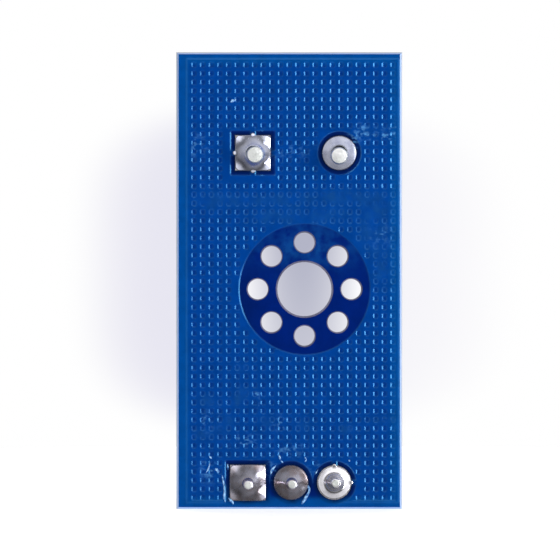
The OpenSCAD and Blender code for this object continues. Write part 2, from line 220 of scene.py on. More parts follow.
class Shader(Nodes):
    """A material with one Principled shader, and short ways to put nodes in front of it."""

    def __init__(self, name, color, rough, metal=0.0, specular=0.5, **sockets):
        self.material = bpy.data.materials.new(name)
        self.material.use_nodes = True
        super().__init__(self.material.node_tree)
        self.bsdf = self.tree.nodes["Principled BSDF"]
        self.set("Base Color", (*color, 1))
        self.set("Roughness", rough)
        self.set("Metallic", metal)
        self.set("Specular IOR Level", specular)
        for socket, value in sockets.items():
            self.set(socket.replace("_", " "), value)

    def set(self, socket, value):
        self.bsdf.inputs[socket].default_value = value

    def link(self, socket, value):
        self.tree.links.new(value, self.bsdf.inputs[socket])

    def place(self, scale=(1, 1, 1)):
        """Object coordinates in millimetres, stretched by scale."""
        coords = self.node("ShaderNodeTexCoord").outputs["Object"]
        node = self.node("ShaderNodeMapping", Vector=coords, Scale=[s / MM for s in scale])
        return node.outputs["Vector"]

    def noise(self, per_mm, detail=3.0, scale=(1, 1, 1)):
        node = self.node("ShaderNodeTexNoise", Vector=self.place(scale), Scale=per_mm, Detail=detail)
        return node.outputs["Fac"]

    def attribute(self, name):
        node = self.tree.nodes.new("ShaderNodeAttribute")
        node.attribute_name = name
        return node.outputs["Fac"]

    def bump(self, height, depth_mm, strength=1.0):
        node = self.node("ShaderNodeBump", Height=height, Strength=strength, Distance=depth_mm * MM)
        self.link("Normal", node.outputs["Normal"])


def mask_material():
    """Blue solder mask: dark where it lies on bare laminate, brighter where copper backs it."""
    s = Shader("solder_mask", (0.0, 0.04, 0.25), 0.14, specular=0.8, Specular_Tint=(0.15, 0.6, 1, 1))
    # the last of these colours is painted shade, laid next to the pads and on the disc's left side
    over_laminate, over_copper, painted_shade = (0.0, 0.011, 0.14), (0.0, 0.044, 0.255), (0.001, 0.006, 0.03)
    at_edge, cloudy, whitish = (0.0, 0.06, 0.27), (0.003, 0.054, 0.24), (0.11, 0.37, 0.74)
    color = s.mix(s.attribute("copper"), over_laminate, over_copper)
    color = s.mix(s.attribute("glow"), color, at_edge)
    color = s.mix(s.attribute("painted_shade"), color, painted_shade)
    clouds = s.ramp(s.noise(1.6, 6), 0.38, 0.6)
    color = s.mix(s.math("MULTIPLY", s.attribute("residue"), clouds), color, cloudy)
    streaks = s.ramp(s.noise(5.0, 5, scale=(0.7, 1, 1)), 0.5, 0.72)
    color = s.mix(s.math("MULTIPLY", s.attribute("smear"), streaks), color, whitish)
    mottle = s.ramp(s.noise(1.4, 5), 0.3, 0.7, 0.88, 1.12)
    s.link("Base Color", s.node("ShaderNodeHueSaturation", Color=color, Value=mottle).outputs["Color"])
    s.link("Roughness", s.ramp(s.attribute("residue"), 0, 1, 0.14, 0.24))
    s.bump(s.noise(5.0, 3), 0.0008)
    return s.material


def laminate_material():
    """Glass cloth in epoxy: layers along the broken edges, which let light in and look pale.

    The edges are bluish next to the faces. The walls of the holes are darker than the edges."""
    s = Shader("glass_fibre_laminate", (0.3, 0.3, 0.28), 0.6, specular=0.3)
    layers = s.noise(2.2, 3, scale=(0.35, 6, 0.35))
    fibres = s.noise(9.0, 4, scale=(1, 2.5, 1))
    face = s.mix(s.ramp(layers, 0.35, 0.65), (0.085, 0.085, 0.14), (0.17, 0.165, 0.25))
    core = s.mix(s.ramp(layers, 0.35, 0.65), (0.5, 0.5, 0.45), (0.66, 0.65, 0.58))
    bluish = s.mix(s.ramp(layers, 0.35, 0.65), (0.3, 0.46, 0.8), (0.42, 0.58, 0.9))
    way = s.node("ShaderNodeSeparateXYZ", Vector=s.place()).outputs

    def below_face(axis, start, end):
        """Goes from 0 to 1 between two depths (mm) under the board's faces across an axis."""
        off = s.math("ABSOLUTE", s.math("SUBTRACT", way[axis], BOARD_MID[axis]))
        return s.ramp(off, BOARD_HALF[axis] - start, BOARD_HALF[axis] - end)

    edge = s.mix(below_face(1, 0.25, 0.5), bluish, core)
    at_edge = s.math("MAXIMUM", below_face(0, 0.2, 0.15), below_face(2, 0.2, 0.15))
    edge = s.mix(s.ramp(fibres, 0.45, 0.75, 0, 0.4), edge, (0.6, 0.64, 0.68))
    s.link("Base Color", s.mix(at_edge, face, edge))
    s.bump(s.mix(0.5, layers, fibres), 0.02)
    return s.material


def solder_material(name, color, stain, rough=0.3):
    """Tin alloy, satin, with shallow dimples and stained patches."""
    s = Shader(name, color, rough, metal=1.0)
    patches = s.ramp(s.noise(1.6, 4), 0.42, 0.68)
    s.link("Base Color", s.mix(patches, color, stain))
    s.link("Roughness", s.ramp(s.noise(3.0, 3), 0.3, 0.7, rough * 0.7, rough * 1.4))
    s.bump(s.noise(2.2, 1), 0.003)
    return s.material


def metal_material(name, color, rough, dull, grain=6.0, depth=0.004):
    """Plated or drawn metal, with duller patches and a fine grain."""
    s = Shader(name, color, rough, metal=1.0)
    tarnish = s.ramp(s.noise(1.2, 5), 0.4, 0.75)
    s.link("Base Color", s.mix(tarnish, color, dull))
    s.link("Roughness", s.ramp(s.noise(4.0, 4), 0.3, 0.7, rough * 0.75, rough * 1.3))
    s.bump(s.noise(grain, 4), depth)
    return s.material


def plastic_material(name, color, light, rough, depth=0.006):
    """Moulded plastic: faint flow marks in its colour, and a fine spark-eroded grain."""
    s = Shader(name, color, rough, specular=0.5)
    flow = s.ramp(s.noise(0.35, 3, scale=(1, 0.6, 1.6)), 0.35, 0.7)
    s.link("Base Color", s.mix(flow, color, light))
    s.link("Roughness", s.ramp(s.noise(2.0, 4), 0.3, 0.7, rough * 0.85, rough * 1.2))
    s.bump(s.noise(12.0, 2), depth)
    return s.material


def ceramic_material(name, color, dark, rough):
    """A hard matt coat or body, lightly mottled."""
    s = Shader(name, color, rough)
    s.link("Base Color", s.mix(s.ramp(s.noise(7.0, 4), 0.4, 0.8), color, dark))
    s.bump(s.noise(14.0, 3), 0.004)
    return s.material


def flux_material():
    """Dried flux over the blue mask: a pale, glossy, uneven film."""
    s = Shader("dried_flux", (0.2, 0.4, 0.75), 0.3, specular=0.3)
    thick = s.ramp(s.noise(6.0, 4), 0.36, 0.6)
    s.link("Base Color", s.mix(thick, (0.01, 0.11, 0.4), (0.38, 0.68, 1.0)))
    s.bump(s.noise(9.0, 3), 0.01)
    return s.material


MASK = mask_material()
LAMINATE = laminate_material()
SOLDER = solder_material("solder", (0.84, 0.87, 1.0), (0.72, 0.75, 0.92), 0.2)
STAINED = solder_material("flux_stained_solder", (0.64, 0.63, 0.72), (0.44, 0.36, 0.36), 0.24)
DULL = solder_material("dull_solder", (0.42, 0.44, 0.52), (0.27, 0.29, 0.38), 0.24)
BRIGHT = solder_material("bright_solder", (0.92, 0.91, 0.93), (0.82, 0.8, 0.84), 0.22)
TIN = metal_material("tin_plate", (0.8, 0.8, 0.79), 0.32, (0.66, 0.65, 0.64))
CUT_TIN = metal_material("cut_tin", (0.97, 0.98, 0.95), 0.5, (0.74, 0.78, 0.72), 7.0, 0.02)
ZINC = metal_material("zinc_plate", (0.72, 0.74, 0.78), 0.26, (0.6, 0.6, 0.62))
GUARD = metal_material("nickel_plate", (0.7, 0.69, 0.66), 0.3, (0.55, 0.54, 0.52))
GOLD = metal_material("gold_flash", (0.95, 0.7, 0.32), 0.2, (0.86, 0.6, 0.26))
COPPER = metal_material("copper", (0.86, 0.5, 0.34), 0.35, (0.6, 0.32, 0.2))
BLUE = plastic_material("blue_polyamide", (0.006, 0.12, 0.5), (0.012, 0.17, 0.6), 0.36)
BLACK = plastic_material("black_polyester", (0.012, 0.012, 0.013), (0.03, 0.03, 0.032), 0.42)
ALUMINA = ceramic_material("alumina", (0.85, 0.85, 0.82), (0.7, 0.7, 0.66), 0.5)
GLASS_COAT = ceramic_material("glass_coat", (0.012, 0.012, 0.014), (0.03, 0.03, 0.034), 0.18)
INK = ceramic_material("white_ink", (0.86, 0.86, 0.84), (0.7, 0.74, 0.8), 0.55)
FLUX = flux_material()


# ---- mesh helpers ----

FLAT_ANGLE = math.radians(2)  # faces that meet at less become one
SHARP_ANGLE = math.radians(28)  # edges that meet at more are rounded


def new_mesh(name, points, faces, material):
    """A mesh from points in millimetres."""
    mesh = bpy.data.meshes.new(name)
    mesh.from_pydata([tuple(c * MM for c in p) for p in points], [], faces)
    mesh.materials.append(material)
    return mesh


def to_mesh(name, points, faces, material, body="board", smooth=True):
    """A piece from points in millimetres, riding on a body."""
    mesh = new_mesh(name, points, faces, material)
    mesh.validate()
    mesh.polygons.foreach_set("use_smooth", [smooth] * len(mesh.polygons))
    piece = add_object(name, mesh)
    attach(piece, body)
    return piece


def dress(node, material):
    """Gives a CAD node that stays as it is its material."""
    NODES[node].data.materials.clear()
    NODES[node].data.materials.append(material)


def even_shading(piece, keep_sharp):
    """Flat faces stay flat beside their rounded edges."""
    modifier = piece.modifiers.new("even_shading", "WEIGHTED_NORMAL")
    modifier.keep_sharp = keep_sharp
    modifier.weight = 80


def soften(node, name, material, radius, body="board", segments=2, shape=None):
    """A copy of a CAD node with rounded edges, in the node's place. shape may move its points."""
    mesh = bpy.data.meshes.new(name)
    bm = bmesh.new()
    bm.from_mesh(NODES[node].data)
    bmesh.ops.remove_doubles(bm, verts=bm.verts, dist=0.001 * MM)
    bmesh.ops.dissolve_limit(bm, angle_limit=FLAT_ANGLE, verts=bm.verts, edges=bm.edges)
    if shape:
        for v in bm.verts:
            v.co = Vector(shape(np.array(v.co) / MM)) * MM
    sharp = [e for e in bm.edges if e.is_manifold and e.calc_face_angle(0) > SHARP_ANGLE]
    bmesh.ops.bevel(
        bm, geom=sharp, offset=radius * MM, segments=segments, profile=0.5, affect="EDGES",
        clamp_overlap=True,
    )
    bm.to_mesh(mesh)
    bm.free()
    mesh.materials.append(material)
    mesh.polygons.foreach_set("use_smooth", [True] * len(mesh.polygons))
    piece = add_object(name, mesh)
    even_shading(piece, keep_sharp=True)
    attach(piece, body)
    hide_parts(node)


def stack(rings, close_first=False, close_last=False):
    """Points and faces of a tube through closed rings of equally many points."""
    n = len(rings[0])
    points = [p for ring in rings for p in ring]
    faces = [
        (i * n + k, i * n + (k + 1) % n, (i + 1) * n + (k + 1) % n, (i + 1) * n + k)
        for i in range(len(rings) - 1)
        for k in range(n)
    ]
    if close_first:
        faces.append(tuple(reversed(range(n))))
    if close_last:
        faces.append(tuple(range((len(rings) - 1) * n, len(rings) * n)))
    return points, faces


def flipped(faces):
    """The faces turned inside out."""
    return [tuple(reversed(face)) for face in faces]


def circle(center, radius, y, points):
    """A ring of points that faces the camera."""
    turns = [2 * math.pi * k / points for k in range(points)]
    return [(center[0] + radius * math.cos(a), y, center[1] + radius * math.sin(a)) for a in turns]


# ---- flat shapes of the board, in X and Z ----


class Disc:
    """A round shape. Like Box and Track, it can tell distances and trace its grown outline."""

    def __init__(self, center, radius):
        self.center, self.radius = np.array(center, float), radius

    def distance(self, p):
        """Distance from the outline, negative inside."""
        return np.hypot(*(p - self.center).T) - self.radius

    def loops(self, grow, points=72):
        points = max(24, int(points * min(1, self.radius)))
        return [[(x, z) for x, y, z in circle(self.center, self.radius + grow, 0, points)]]


class Box:
    def __init__(self, low, high):
        low, high = np.array(low, float), np.array(high, float)
        self.center, self.half = (low + high) / 2, (high - low) / 2

    def distance(self, p):
        q = np.abs(p - self.center) - self.half
        return np.hypot(*np.maximum(q, 0).T) + np.minimum(q.max(axis=1), 0)

    def loops(self, grow):
        """The outline, with extra points next to its corners and at the middle of its edges."""
        half = self.half + grow
        corners = [self.center + half * way for way in ((-1, -1), (1, -1), (1, 1), (-1, 1))]
        loop = []
        for a, b in zip(corners, corners[1:] + corners[:1]):
            near = min(0.3, 0.12 / np.hypot(*(b - a)))
            loop += [tuple(a + (b - a) * t) for t in (0, near, 0.5, 1 - near)]
        return [loop]


class Track:
    def __init__(self, points, width):
        self.points, self.half = [np.array(p, float) for p in points], width / 2

    def distance(self, p):
        found = np.full(len(p), np.inf)
        for a, b in zip(self.points, self.points[1:]):
            along = np.clip((p - a) @ (b - a) / ((b - a) @ (b - a)), 0, 1)
            found = np.minimum(found, np.hypot(*(p - a - along[:, None] * (b - a)).T))
        return found - self.half

    def loops(self, grow, arc=6):
        r, out = self.half + grow, []
        for a, b in zip(self.points, self.points[1:]):
            turn = math.atan2(*(b - a)[::-1])
            ends = [(b, -math.pi / 2), (a, math.pi / 2)]
            out.append([
                (c[0] + r * math.cos(turn + start + k * math.pi / arc),
                 c[1] + r * math.sin(turn + start + k * math.pi / arc))
                for c, start in ends
                for k in range(arc + 1)
            ])
        return out


def nearest(shapes, p):
    """Distance from the outline of the nearest shape, negative inside any of them."""
    return np.min([shape.distance(p) for shape in shapes], axis=0)


def around(center, half):
    """A box by its middle and half sizes."""
    return Box(np.array(center) - half, np.array(center) + half)


def pad_shape(center, square, grow=0.0):
    return around(center, SQUARE_HALF + grow) if square else Disc(center, PAD_R + grow)


PADS = [(POLES[0], True), (POLES[1], False), (PINS[0], True), (PINS[1], False), (PINS[2], False)]
BOARD = Box(FACE_LOW[[0, 2]], FACE_HIGH[[0, 2]])
POUR = Box(COPPER_LOW[[0, 2]], COPPER_HIGH[[0, 2]])
POUR_SLOPE = [around(POUR.center, POUR.half + grow) for grow in (-POUR_SLOPE_W / 2, POUR_SLOPE_W / 2)]
CLEAR_DISC = Disc((0, 0), CLEAR_DISC_R)
RING = [Disc((x, z), RING_HOLE_R) for x, y, z in circle((0, 0), RING_R, 0, RING_HOLES)]
BETWEEN_PINS = Box((PINS[0][0], BOARD_LOW[2] - 1), (PINS[2][0], PINS[0][1]))


def spoke(center, right=0, up=0):
    """A thermal spoke from a pad's middle, out over its clearance."""
    reach = SQUARE_HALF + PAD_GAP + 0.1
    return Track([center, np.array(center) + (right * reach, up * reach)], SPOKE_W)


LEFT, RIGHT, UP, DOWN = (-1, 0), (1, 0), (0, 1), (0, -1)
SPOKES = [spoke(POLES[0], *way) for way in (RIGHT, LEFT, UP, DOWN)]
SPOKES += [spoke(PINS[2], *way) for way in (RIGHT, UP)]


def chip_pads(grow=0.0):
    half = np.array(CHIP_PAD) / 2 + grow
    return [around(c + (side * CHIP_PAD_X, 0), half) for c in CHIPS for side in (-1, 1)]


TRACK_HIGH = box_mm("signal_tracks")[1]
INPUT_X = TRACK_HIGH[0] - TRACK_W / 2
INPUT_TRACK = Track([POLES[1], (INPUT_X, 5.7), (INPUT_X, -5.4), CHIPS[1] + (CHIP_PAD_X, 0)], TRACK_W)
OUTPUT_TRACK = Track([CHIPS[1] - (CHIP_PAD_X, 0), CHIPS[0] + (CHIP_PAD_X, 0), PINS[0]], TRACK_W)
CHIP_SPOKE = Track([CHIPS[0] - (CHIP_PAD_X, 0), CHIPS[0] - (CHIP_PAD_X + 0.9, 0)], 2 * SPOKE_W)


# ---- the two mask skins ----

STRAIGHT = 0.7  # share of the mask's slope that is straight, between its round top and foot
FLUX_FILL = 1.2  # how quickly dried flux fills the windows level
WINDOW_TONE = 0.55  # how much of the copper's brightness spreads under a window
PROBE = 0.004  # step (mm) over which the mask's slope is measured


def smoothstep(t):
    t = np.clip(t, 0, 1)
    return t * t * (3 - 2 * t)


def blob(p, center, radii):
    """1 at the centre, fading to almost 0 at twice the radii."""
    return np.exp(-(((p - center) / radii) ** 2).sum(axis=1))


def residue(p):
    """How thick the dried flux lies on the solder side, from 0 to 1."""
    x, z = p.T
    grain = 0.5 + 0.5 * np.sin(3.1 * x + 1.7 * np.sin(2.3 * z)) * np.cos(2.7 * z + x)
    # (x, z, half width, half height)
    spots = [
        (-3.7, -4.6, 0.35, 0.25), (-3.6, -6.1, 0.35, 0.35), (-5.6, -6.55, 0.5, 0.3),
        (-3.95, -6.6, 0.25, 0.3), (-4.5, -7.7, 0.25, 0.25), (-2.2, -7.7, 0.4, 0.3),
        (0.0, -8.0, 0.35, 0.3), (2.4, -8.2, 0.35, 0.2), (4.6, -7.7, 0.8, 0.15),
        (-5.9, -8.5, 0.6, 0.25), (-4.9, -8.2, 0.35, 0.2), (-2.6, 5.2, 2.6, 0.3),
        (-5.6, 5.2, 0.8, 0.5), (2.4, 5.4, 2.4, 0.4), (0.9, 4.3, 1.8, 0.45),
        (-2.0, 4.2, 1.2, 0.35), (4.2, 4.6, 1.0, 0.6), (3.9, 3.2, 0.9, 0.8),
        (4.6, 1.2, 0.5, 1.2), (3.9, 9.3, 0.8, 0.22),
    ]
    film = sum(blob(p, (x, z), (w, h)) for x, z, w, h in spots)
    inside = 0.9 * blob(p, (0.2, 2.5), (3.0, 1.2)) * (CLEAR_DISC.distance(p) < 0)
    return np.clip(film * (0.5 + 0.7 * grain) + inside, 0, 1)


class Hatch:
    """The grid of windows in the ground copper, less those too near its edges.

    copper gives how far inside the unbroken ground copper each point is."""

    def __init__(self, copper):
        self.first = np.array((COPPER_LOW[0] + HATCH_FIRST[0], COPPER_HIGH[2] - HATCH_FIRST[1]))
        size = COPPER_HIGH[[0, 2]] - COPPER_LOW[[0, 2]] - HATCH_FIRST - HATCH_KEEP_OFF
        self.count = (size / HATCH_PITCH).astype(int) + 1
        self.columns, self.rows = np.meshgrid(*(np.arange(n) for n in self.count), indexing="ij")
        self.kept = copper(self.centers().reshape(-1, 2)).reshape(self.count) > HATCH_KEEP_OFF

    def centers(self):
        return self.first + HATCH_PITCH * np.stack([self.columns, -self.rows], axis=-1)

    def distance(self, p):
        cell = np.rint((p - self.first) * (1, -1) / HATCH_PITCH).astype(int)
        inside = ((cell >= 0) & (cell < self.count)).all(axis=1)
        cell = np.clip(cell, 0, self.count - 1)
        center = self.first + HATCH_PITCH * cell * (1, -1)
        q = np.abs(p - center) - (HATCH_WINDOW / 2 - WINDOW_CORNER)
        found = np.hypot(*np.maximum(q, 0).T) + np.minimum(q.max(axis=1), 0) - WINDOW_CORNER
        return np.where(inside & self.kept[tuple(cell.T)], found, 9)

    def loops(self, grow):
        """Every window's outline, with two points on each round corner."""
        (w, h), r = HATCH_WINDOW / 2 - WINDOW_CORNER, WINDOW_CORNER + grow
        upper = [(w + r, h), (w, h + r), (-w, h + r), (-w - r, h)]
        lower = [(-w - r, -h), (-w, -h - r), (w, -h - r), (w + r, -h)]
        return [[(x + dx, z + dz) for dx, dz in upper + lower] for x, z in self.centers()[self.kept]]


def rise(d):
    """The mask's height over a copper edge, from 0 to 1: d is how far inside the copper."""
    u = np.clip(2 * d / SLOPE_W, -1, 1)
    a = np.abs(u)
    steep = 1 / (1 + STRAIGHT)
    rounded = 0.5 - (1 - a) ** 2 * steep / (2 * (1 - STRAIGHT))
    return 0.5 + np.sign(u) * np.where(a < STRAIGHT, a * steep, rounded)


def triangulate(shapes, grows, outlines):
    """Flat triangles that follow each shape's outline, grown by each of grows, and the outlines."""
    points, edges = [], []
    traced = [loop for shape in shapes for grow in grows for loop in shape.loops(grow)]
    for loop in traced + [loop for shape in outlines for loop in shape.loops(0)]:
        first = len(points)
        points.extend(Vector(p) for p in loop)
        edges.extend((first + k, first + (k + 1) % len(loop)) for k in range(len(loop)))
    flat, _, triangles, *_ = delaunay_2d_cdt(points, edges, [], 0, 1e-5)
    return np.array(flat), np.array(triangles)


def add_plate(name, node, sign, flat, triangles, height, normals, material):
    """A sheet on one side of the laminate: its outer face, and a skirt down to the laminate.

    Returns the piece, and the points of its outer face."""
    used, triangles = np.unique(triangles, return_inverse=True)
    flat, height, normals = flat[used], height[used], normals[used]
    triangles = triangles.reshape(-1, 3)
    if sign > 0:
        triangles = triangles[:, ::-1]
    base = 0 if sign < 0 else BOARD_T
    rims = {}
    for a, b in np.concatenate([triangles[:, [0, 1]], triangles[:, [1, 2]], triangles[:, [2, 0]]]):
        key = (min(a, b), max(a, b))
        rims[key] = None if key in rims else (a, b)
    verts = [(p[0], base + sign * h, p[1]) for p, h in zip(flat, height)]
    faces = [tuple(t) for t in triangles]
    outward = []
    for a, b in filter(None, rims.values()):
        n = len(verts)
        verts += [verts[a], verts[b]] + [(flat[k][0], base, flat[k][1]) for k in (b, a)]
        faces.append((n + 1, n, n + 3, n + 2))
        along = flat[b] - flat[a]
        outward.append(np.array((along[1], 0, -along[0])) * -sign / max(np.hypot(*along), 1e-9))
    piece = to_mesh(name, verts, faces, material)
    normals = np.concatenate([normals, np.repeat(outward, 4, axis=0)])
    piece.data.normals_split_custom_set_from_vertices([tuple(v) for v in normals])
    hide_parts(node)
    return piece, flat


def add_side(side, sign, cleared, added, tracks, openings, pads, film, smear):
    """The hatched copper of one side and the mask over it, which is raised over the copper.

    cleared shapes are cut out of the ground copper, added ones and the tracks are copper again,
    openings are the holes in the mask. sign is -1 on the solder side and 1 on the other. film and
    smear give how thick dried flux and wiped flux lie at each point."""

    def ground(p):
        return np.minimum(-POUR.distance(p), nearest(cleared, p))

    hatch = Hatch(ground)

    def copper(p):
        return np.maximum(np.minimum(ground(p), hatch.distance(p)), -nearest([*added, *tracks], p))

    def level(p):
        """Height of the mask, from 0 over laminate to 1 over copper."""
        raised = rise(np.minimum(copper(p), -POUR.distance(p) * SLOPE_W / POUR_SLOPE_W))
        return raised + (1 - raised) * np.minimum(FLUX_FILL * film(p), 1) * (ground(p) > SLOPE_W)

    grows = [SLOPE_W * k for k in (-0.5, -0.35, 0.35, 0.5)]
    shapes = [POUR, hatch, *cleared, *added, *tracks]
    flat, triangles = triangulate(shapes, grows, [BOARD, *POUR_SLOPE, *openings, *pads])
    middles = flat[triangles].mean(axis=1)

    raised = level(flat)
    steps = np.array([(PROBE, 0), (0, PROBE)])
    slope = [(level(flat + d) - level(flat - d)) / (2 * PROBE) for d in steps]
    normals = np.stack([-COPPER_T * slope[0], np.full(len(flat), sign), -COPPER_T * slope[1]], axis=1)
    normals /= np.linalg.norm(normals, axis=1)[:, None]
    covered = (BOARD.distance(middles) < 0) & (nearest(openings, middles) > 0)
    skin, points = add_plate(
        f"{side}_side_skin", f"{side}_side_mask", sign, flat, triangles[covered],
        MASK_T + COPPER_T * raised, normals, MASK,
    )
    backed = level(points)
    attributes = {
        "copper": np.where(ground(points) > 0, WINDOW_TONE + (1 - WINDOW_TONE) * backed, backed),
        "glow": margin_glow(points),
        "painted_shade": painted_shade(points),
        "residue": film(points),
        "smear": smear(points),
    }
    for key, values in attributes.items():
        layer = skin.data.attributes.new(key, "FLOAT", "POINT")
        skirt = np.zeros(len(layer.data) - len(values))
        layer.data.foreach_set("value", np.concatenate([values, skirt]).astype(np.float32))

    # the copper ends at the outlines that lie 0.35 of a slope inside its edges
    clad = (copper(flat)[triangles] > 0.2 * SLOPE_W).all(axis=1)
    clad &= nearest(pads, middles) > 0
    is_track = nearest(tracks, middles) < 0 if tracks else np.zeros(len(triangles), bool)
    thick, plain = np.full(len(flat), COPPER_T), np.tile((0.0, sign, 0.0), (len(flat), 1))
    layers = [(f"{side}_side_hatch", f"{side}_side_copper", clad & ~is_track)]
    if tracks:
        layers.append(("track_copper", "signal_tracks", clad & is_track))
    for name, node, chosen in layers:
        add_plate(name, node, sign, flat, triangles[chosen], thick, plain, COPPER)


def margin_glow(p):
    """Light that enters at the board's edge brightens the mask beside it."""
    return smoothstep((0.75 + BOARD.distance(p)) / 0.35)


def painted_shade(p):
    """Painted shade in the narrow clearances round the pads, darkest right beside them, and a fainter
    painted shade on the disc's left side.
    """
    near = nearest([pad_shape(c, square) for c, square in PADS], p)
    ring = smoothstep((PAD_GAP + 0.06 - near) / PAD_GAP)
    left = blob(p, (-3.4, -0.6), (0.7, 1.8)) * (CLEAR_DISC.distance(p) < 0)
    return np.clip(0.85 * ring + 0.35 * left, 0, 1)


def smears(p):
    """Where flux was wiped over the solder side in whitish streaks, from 0 to 1."""
    # (strength, x, z, half width, half height)
    streaks = [
        (1.2, 4.1, 9.0, 0.8, 0.17), (0.9, 5.0, 9.1, 0.7, 0.16), (0.7, 3.4, 9.4, 0.3, 0.3),
        (0.6, 2.9, 8.8, 0.3, 0.4), (0.6, 5.6, 9.4, 0.4, 0.3), (0.6, -6.4, 8.4, 0.5, 0.5),
        (0.4, -1.0, 8.1, 1.2, 0.3), (0.5, 4.4, 3.2, 0.5, 0.5), (1.1, -2.8, -6.4, 0.12, 0.4),
        (0.8, -1.4, -7.9, 0.35, 0.3), (0.6, -5.9, -7.8, 0.4, 0.4), (0.5, -5.3, -7.3, 0.35, 0.3),
        (0.6, -3.6, -8.9, 0.8, 0.3), (0.6, -0.9, -9.4, 0.9, 0.3), (0.7, -5.6, -10.6, 0.4, 0.6),
        (0.6, -1.9, -10.5, 0.25, 0.5), (0.5, 0.6, -10.4, 0.3, 0.3),
    ]
    return np.clip(sum(k * blob(p, (x, z), (w, h)) for k, x, z, w, h in streaks), 0, 1)


def nothing(p):
    return np.zeros(len(p))


def add_sides():
    openings = [pad_shape(c, square, PAD_RIM) for c, square in PADS]
    openings += [Disc((0, 0), HOLE_R + HOLE_RIM)] + [Disc(d.center, d.radius + RING_RIM) for d in RING]
    pads = [pad_shape(c, square) for c, square in PADS]
    cleared = [CLEAR_DISC, BETWEEN_PINS] + [pad_shape(c, square, PAD_GAP) for c, square in PADS]
    add_side("solder", -1, cleared, SPOKES, [], openings, pads, residue, smears)
    tracks = [INPUT_TRACK, OUTPUT_TRACK]
    cleared += chip_pads(TRACK_GAP)
    cleared += [Track(t.points, TRACK_W + 2 * TRACK_GAP) for t in tracks]
    add_side(
        "component", 1, cleared, [*SPOKES, CHIP_SPOKE], tracks, openings + chip_pads(CHIP_RIM),
        pads + chip_pads(), nothing, nothing,
    )


# ---- solder joints ----

RAYS = 192  # points round a joint
TURNS = np.arange(RAYS) * 2 * math.pi / RAYS
RNG = np.random.default_rng(7)


def ripple(size, waves):
    """A closed random wave round a joint, one value for each ray."""
    out = np.zeros(RAYS)
    for k in range(1, waves + 1):
        out += RNG.normal() / k * np.cos(k * TURNS + RNG.uniform(0, 2 * math.pi))
    return size * out


def square_reach(half, corner):
    """From the middle of a square to its edge, along each ray, with its corners rounded off."""
    reach = half / np.maximum(np.abs(np.cos(TURNS)), np.abs(np.sin(TURNS)))
    return np.minimum(reach, half * (math.sqrt(2) - corner))


def tongues(ways, reach=0.15, width=0.12):
    """How far the solder runs out along the pad's spokes, given as (right, up)."""
    out = np.zeros(RAYS)
    for right, up in ways:
        off = (TURNS - math.atan2(up, right) + math.pi) % (2 * math.pi) - math.pi
        out += reach * np.exp(-((off * SQUARE_HALF / width) ** 4))
    return out


def add_joint(place, center, lean, bar, spread, climb, foot, skirt, curve, lumps, material,
              square=False, cap_r=None, ways=()):
    """A solder joint: from the pad's edge it climbs in a hollow curve to the pin.

    lean is the sideways move of the pin's end and bar the pin's radius. spread is how far the
    solder runs past the pad, climb how high it climbs and foot its thickness at the pad's edge.
    skirt is the slope there, curve the hollowness and lumps the unevenness. cap_r is the radius
    of the pin's end where solder covers that too. ways are the spokes that it wets."""
    edge = square_reach(SQUARE_HALF, 0.1) if square else np.full(RAYS, PAD_R)
    edge = edge + spread + ripple(0.004, 6)
    drops = tongues(ways)
    hollow = curve + ripple(0.08, 4)
    middle_edge = (SQUARE_HALF if square else PAD_R) + spread
    apron = skirt * (middle_edge - bar)
    lump = [ripple(lumps, 5) for _ in range(3)]
    rings = [(edge + drops, np.full(RAYS, -COPPER_T * 0.5)),
             (edge + drops + 0.004, np.full(RAYS, -COPPER_T - foot * 0.6)),
             (edge + drops - 0.004, np.full(RAYS, -COPPER_T - foot * 0.8))]
    for t in np.arange(JOINT_STEPS + 1) / JOINT_STEPS:
        outline = middle_edge + (edge - middle_edge) * (1 - t) ** 3 - 0.012
        r = bar + (outline - bar) * (1 - t) + drops * (1 - t) ** 14
        y = COPPER_T + foot + apron * t + (climb - foot - apron) * t**hollow
        y = y + sum(w * math.sin(math.pi * t * (k + 1)) for k, w in enumerate(lump)) * 0.5
        rings.append((r, -np.maximum(y, COPPER_T + 0.6 * foot)))
    if cap_r:
        for t in (0.35, 0.7, 0.9, 1.0):
            r = bar + (cap_r - bar) * t + ripple(0.004, 4)
            rings.append((r, np.full(RAYS, -(climb + (CAP_H - climb) * (1 - (1 - t) ** 2)))))
        for t in (0.75, 0.4):
            rings.append((np.full(RAYS, cap_r * t), np.full(RAYS, -CAP_H) + ripple(0.004, 4)))
    else:
        rings.append((np.full(RAYS, bar * 0.9), np.full(RAYS, -climb - 0.01)))
    pin_end = CAP_H if cap_r else LEAD_OUT
    loops = []
    for radii, heights in rings:
        moved = center + np.clip(-heights / pin_end, 0, 1)[:, None] * np.array(lean)
        loops.append([(x + r * math.cos(a), y, z + r * math.sin(a))
                      for (x, z), r, y, a in zip(moved, radii, heights, TURNS)])
    points, faces = stack(loops, close_last=bool(cap_r))
    piece = to_mesh(place + "_joint", points, flipped(faces), material)
    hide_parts(place + "_solder")


# how far the leads' and pins' ends have moved (right, up)
LEAD_LEAN = [(0.14, -0.18), (-0.04, -0.24)]
PIN_LEAN = [(0.05, -0.07), (0.07, -0.03), (0.06, 0.04)]
CAP_H = PIN_OUT - 0.015  # height of the solder that covers a pin's end
JOINT_STEPS = 36  # rings from a joint's foot to its pin


